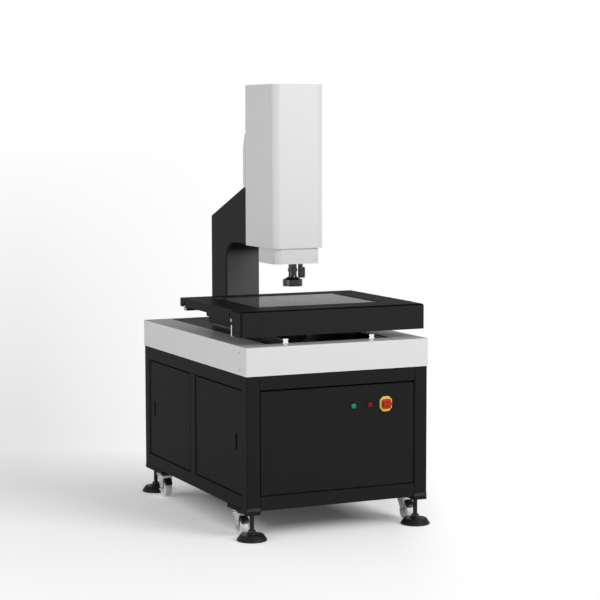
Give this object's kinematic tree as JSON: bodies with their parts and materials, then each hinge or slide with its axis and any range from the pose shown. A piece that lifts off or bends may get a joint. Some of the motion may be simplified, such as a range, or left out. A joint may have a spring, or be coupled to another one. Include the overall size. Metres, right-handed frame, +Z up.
{
  "type": "vision measuring machine",
  "caption": "Optical measuring machine: glass-topped X-Y stage on a granite base, camera head on a rear column, white covers, black cabinet with doors, feet and casters.",
  "frame": {"origin": "on the floor, at the middle of the footprint", "axes": "+Z up, +X to the operator's right, +Y to the rear"},
  "size_m": [0.742, 1.062, 1.57],
  "materials": {
    "frame_black": "fine satin powder coat",
    "panel_black": "fine satin powder coat",
    "cover_white": "smooth satin paint",
    "granite_black": "lapped",
    "column_black": "satin paint on a machined casting",
    "stage_black": "satin anodised black",
    "saddle_grey": "black anodised",
    "guide_steel": "ground",
    "drive_steel": "machined",
    "bright_aluminium": "turned",
    "optics_black": "black anodised",
    "clear_glass": "polished",
    "lamp_housing": "satin",
    "box_grey": "fine texture paint",
    "pin_steel": "zinc plated",
    "bezel_metal": "moulded",
    "switch_yellow": "moulded",
    "switch_red": "moulded",
    "button_green": "moulded lens",
    "button_red": "moulded lens",
    "foot_black": "moulded nylon",
    "caster_zinc": "bright zinc",
    "wheel_nylon": "moulded nylon",
    "pedal_black": "moulded"
  },
  "bodies": {
    "base": {"cabinet_frame": "frame_black", "cabinet_floor": "frame_black", "corner_plates": "frame_black", "front_panel": "panel_black", "back_panel": "panel_black", "hinge_pins": "pin_steel", "control_box": "box_grey", "button_bezels": "bezel_metal", "switch_plate": "switch_yellow", "caster_tops": "caster_zinc", "skirt_front": "cover_white", "skirt_cover": "cover_white", "granite_base": "granite_black", "skirt_screws": "pin_steel", "column": "column_black", "y_rails": "guide_steel", "y_drive": "drive_steel", "backlight": "lamp_housing", "head_cover": "cover_white", "head_rear_cover": "cover_white", "z_back_plate": "saddle_grey", "z_rails": "guide_steel", "z_drive": "drive_steel"},
    "y_stage": {"y_saddle": "saddle_grey", "y_blocks": "drive_steel", "x_rails": "guide_steel", "x_drive": "drive_steel"},
    "x_stage": {"stage_plate": "stage_black", "stage_apron": "stage_black", "stage_glass": "clear_glass", "stage_fittings": "bright_aluminium"},
    "z_axis": {"z_slide": "saddle_grey", "lower_shroud": "cover_white", "lens_tube": "optics_black", "ring_light": "optics_black", "side_light": "optics_black", "camera": "optics_black"},
    "switch_knob": {"switch_knob": "switch_red"},
    "green_button": {"green_button": "button_green"},
    "red_button": {"red_button": "button_red"},
    "door_left_front": {"door_left_front": "panel_black"},
    "foot_front_left": {"foot_front_left": "foot_black"},
    "caster_fork_front_left": {"caster_fork_front_left": "caster_zinc"},
    "caster_wheel_front_left": {"caster_wheel_front_left": "wheel_nylon"},
    "caster_pedal_front_left": {"caster_pedal_front_left": "pedal_black"},
    "door_right_front": {"door_right_front": "panel_black"},
    "foot_front_right": {"foot_front_right": "foot_black"},
    "caster_fork_front_right": {"caster_fork_front_right": "caster_zinc"},
    "caster_wheel_front_right": {"caster_wheel_front_right": "wheel_nylon"},
    "caster_pedal_front_right": {"caster_pedal_front_right": "pedal_black"},
    "door_left_rear": {"door_left_rear": "panel_black"},
    "foot_rear_left": {"foot_rear_left": "foot_black"},
    "caster_fork_rear_left": {"caster_fork_rear_left": "caster_zinc"},
    "caster_wheel_rear_left": {"caster_wheel_rear_left": "wheel_nylon"},
    "caster_pedal_rear_left": {"caster_pedal_rear_left": "pedal_black"},
    "door_right_rear": {"door_right_rear": "panel_black"},
    "foot_rear_right": {"foot_rear_right": "foot_black"},
    "caster_fork_rear_right": {"caster_fork_rear_right": "caster_zinc"},
    "caster_wheel_rear_right": {"caster_wheel_rear_right": "wheel_nylon"},
    "caster_pedal_rear_right": {"caster_pedal_rear_right": "pedal_black"}
  },
  "joints": [
    {"name": "y_axis", "type": "slide", "parent": "base", "child": "y_stage", "axis": [0, 1, 0], "range_m": [-0.15, 0.15]},
    {"name": "x_axis", "type": "slide", "parent": "y_stage", "child": "x_stage", "axis": [1, 0, 0], "range_m": [-0.2, 0.2]},
    {"name": "z_axis", "type": "slide", "parent": "base", "child": "z_axis", "axis": [0, 0, 1], "range_m": [-0.04, 0.16]},
    {"name": "main_switch", "type": "hinge", "parent": "base", "child": "switch_knob", "pos_m": [0.184, -0.505, 0.447], "axis": [0, 1, 0], "range_deg": [0, 90]},
    {"name": "green_button_press", "type": "slide", "parent": "base", "child": "green_button", "axis": [0, 1, 0], "range_m": [0, 0.002], "stiffness_N_per_m": 400},
    {"name": "red_button_press", "type": "slide", "parent": "base", "child": "red_button", "axis": [0, 1, 0], "range_m": [0, 0.002], "stiffness_N_per_m": 400},
    {"name": "door_left_front_hinge", "type": "hinge", "parent": "base", "child": "door_left_front", "pos_m": [-0.34, -0.037, 0.33], "axis": [0, 0, -1], "range_deg": [0, 90]},
    {"name": "foot_front_left_turn", "type": "hinge", "parent": "base", "child": "foot_front_left", "pos_m": [-0.318, -0.478, 0.1], "axis": [0, 0, 1], "range_deg": [-360, 360]},
    {"name": "caster_swivel_front_left", "type": "hinge", "parent": "base", "child": "caster_fork_front_left", "pos_m": [-0.323, -0.377, 0.084], "axis": [0, 0, 1], "continuous": true},
    {"name": "caster_roll_front_left", "type": "hinge", "parent": "caster_fork_front_left", "child": "caster_wheel_front_left", "pos_m": [-0.323, -0.401, 0.032], "axis": [1, 0, 0], "continuous": true},
    {"name": "caster_brake_front_left", "type": "hinge", "parent": "caster_fork_front_left", "child": "caster_pedal_front_left", "pos_m": [-0.323, -0.415, 0.07], "axis": [1, 0, 0], "range_deg": [0, 7]},
    {"name": "door_right_front_hinge", "type": "hinge", "parent": "base", "child": "door_right_front", "pos_m": [0.34, -0.037, 0.33], "axis": [0, 0, 1], "range_deg": [0, 90]},
    {"name": "foot_front_right_turn", "type": "hinge", "parent": "base", "child": "foot_front_right", "pos_m": [0.318, -0.478, 0.1], "axis": [0, 0, 1], "range_deg": [-360, 360]},
    {"name": "caster_swivel_front_right", "type": "hinge", "parent": "base", "child": "caster_fork_front_right", "pos_m": [0.323, -0.377, 0.084], "axis": [0, 0, 1], "continuous": true},
    {"name": "caster_roll_front_right", "type": "hinge", "parent": "caster_fork_front_right", "child": "caster_wheel_front_right", "pos_m": [0.323, -0.401, 0.032], "axis": [1, 0, 0], "continuous": true},
    {"name": "caster_brake_front_right", "type": "hinge", "parent": "caster_fork_front_right", "child": "caster_pedal_front_right", "pos_m": [0.323, -0.415, 0.07], "axis": [1, 0, 0], "range_deg": [0, 7]},
    {"name": "door_left_rear_hinge", "type": "hinge", "parent": "base", "child": "door_left_rear", "pos_m": [-0.34, 0.037, 0.33], "axis": [0, 0, 1], "range_deg": [0, 90]},
    {"name": "foot_rear_left_turn", "type": "hinge", "parent": "base", "child": "foot_rear_left", "pos_m": [-0.318, 0.478, 0.1], "axis": [0, 0, 1], "range_deg": [-360, 360]},
    {"name": "caster_swivel_rear_left", "type": "hinge", "parent": "base", "child": "caster_fork_rear_left", "pos_m": [-0.323, 0.377, 0.084], "axis": [0, 0, 1], "continuous": true},
    {"name": "caster_roll_rear_left", "type": "hinge", "parent": "caster_fork_rear_left", "child": "caster_wheel_rear_left", "pos_m": [-0.323, 0.353, 0.032], "axis": [1, 0, 0], "continuous": true},
    {"name": "caster_brake_rear_left", "type": "hinge", "parent": "caster_fork_rear_left", "child": "caster_pedal_rear_left", "pos_m": [-0.323, 0.339, 0.07], "axis": [1, 0, 0], "range_deg": [0, 7]},
    {"name": "door_right_rear_hinge", "type": "hinge", "parent": "base", "child": "door_right_rear", "pos_m": [0.34, 0.037, 0.33], "axis": [0, 0, -1], "range_deg": [0, 90]},
    {"name": "foot_rear_right_turn", "type": "hinge", "parent": "base", "child": "foot_rear_right", "pos_m": [0.318, 0.478, 0.1], "axis": [0, 0, 1], "range_deg": [-360, 360]},
    {"name": "caster_swivel_rear_right", "type": "hinge", "parent": "base", "child": "caster_fork_rear_right", "pos_m": [0.323, 0.377, 0.084], "axis": [0, 0, 1], "continuous": true},
    {"name": "caster_roll_rear_right", "type": "hinge", "parent": "caster_fork_rear_right", "child": "caster_wheel_rear_right", "pos_m": [0.323, 0.353, 0.032], "axis": [1, 0, 0], "continuous": true},
    {"name": "caster_brake_rear_right", "type": "hinge", "parent": "caster_fork_rear_right", "child": "caster_pedal_rear_right", "pos_m": [0.323, 0.339, 0.07], "axis": [1, 0, 0], "range_deg": [0, 7]}
  ]
}
